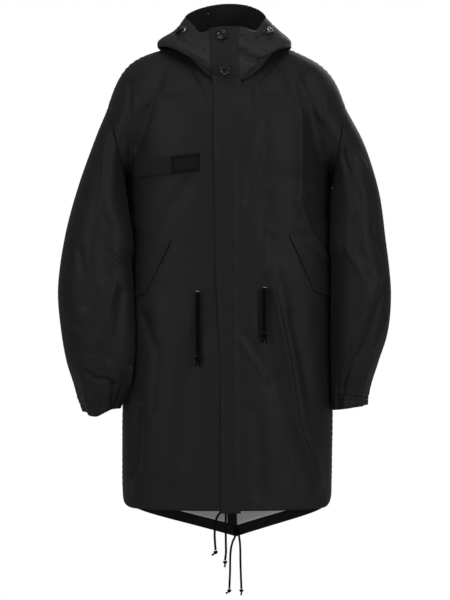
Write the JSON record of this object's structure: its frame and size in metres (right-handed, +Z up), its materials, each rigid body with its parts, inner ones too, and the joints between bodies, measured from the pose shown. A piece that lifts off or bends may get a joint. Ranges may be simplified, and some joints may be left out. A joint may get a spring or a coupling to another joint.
{
  "type": "parka",
  "caption": "Black hooded fishtail parka, filled out as worn with the hood down: storm flap, slanted pocket flaps, full sleeves, drawcords at waist and hem.",
  "frame": {"origin": "inside the neck, on the line between the shoulders, where the wearer holds it up", "axes": "+Z up, front towards -Y, the wearer's right side on -X"},
  "size_m": [0.708, 0.3617, 1.3053],
  "materials": {
    "shell_cloth": "close woven cloth with a slight sheen",
    "hood_cloth": "close woven cloth with a slight sheen",
    "facing_cloth": "matte",
    "tape_pile": "matte looped pile tape",
    "lining_cloth": "satin",
    "snap_plastic": "glossy",
    "lock_plastic": "satin",
    "eyelet_metal": "polished",
    "cord_braid": "braided"
  },
  "bodies": {
    "root": {"front_right": "shell_cloth", "front_left": "shell_cloth", "back_right": "shell_cloth", "back_left": "shell_cloth", "sleeve_right_front": "shell_cloth", "sleeve_right_rear": "shell_cloth", "sleeve_left_front": "shell_cloth", "sleeve_left_rear": "shell_cloth", "cuff_right": "shell_cloth", "cuff_left": "shell_cloth", "hood_left": "hood_cloth", "hood_centre": "hood_cloth", "hood_right": "hood_cloth", "storm_flap": "shell_cloth", "pocket_flap_right": "shell_cloth", "pocket_flap_left": "shell_cloth", "chest_tape": "tape_pile", "hem_facing_right": "facing_cloth", "lining_right": "lining_cloth", "hem_facing_left": "facing_cloth", "lining_left": "lining_cloth", "vent_facing": "facing_cloth", "button_top": "snap_plastic", "button_neck": "snap_plastic", "waist_eyelet_right": "eyelet_metal", "hood_eyelet_right": "eyelet_metal", "cord_lock_right": "lock_plastic", "waist_eyelet_left": "eyelet_metal", "hood_eyelet_left": "eyelet_metal", "cord_lock_left": "lock_plastic", "hem_cord_front_right": "cord_braid", "hem_knot_front_right": "cord_braid", "hem_cord_front_left": "cord_braid", "hem_knot_front_left": "cord_braid", "hem_cord_tail_right": "cord_braid", "hem_knot_tail_right": "cord_braid", "hem_cord_tail_left": "cord_braid", "hem_knot_tail_left": "cord_braid", "waist_cord_right_outer": "cord_braid", "waist_cord_right_inner": "cord_braid", "waist_knot_right": "cord_braid", "waist_cord_left_outer": "cord_braid", "waist_cord_left_inner": "cord_braid", "waist_knot_left": "cord_braid"}
  },
  "joints": []
}
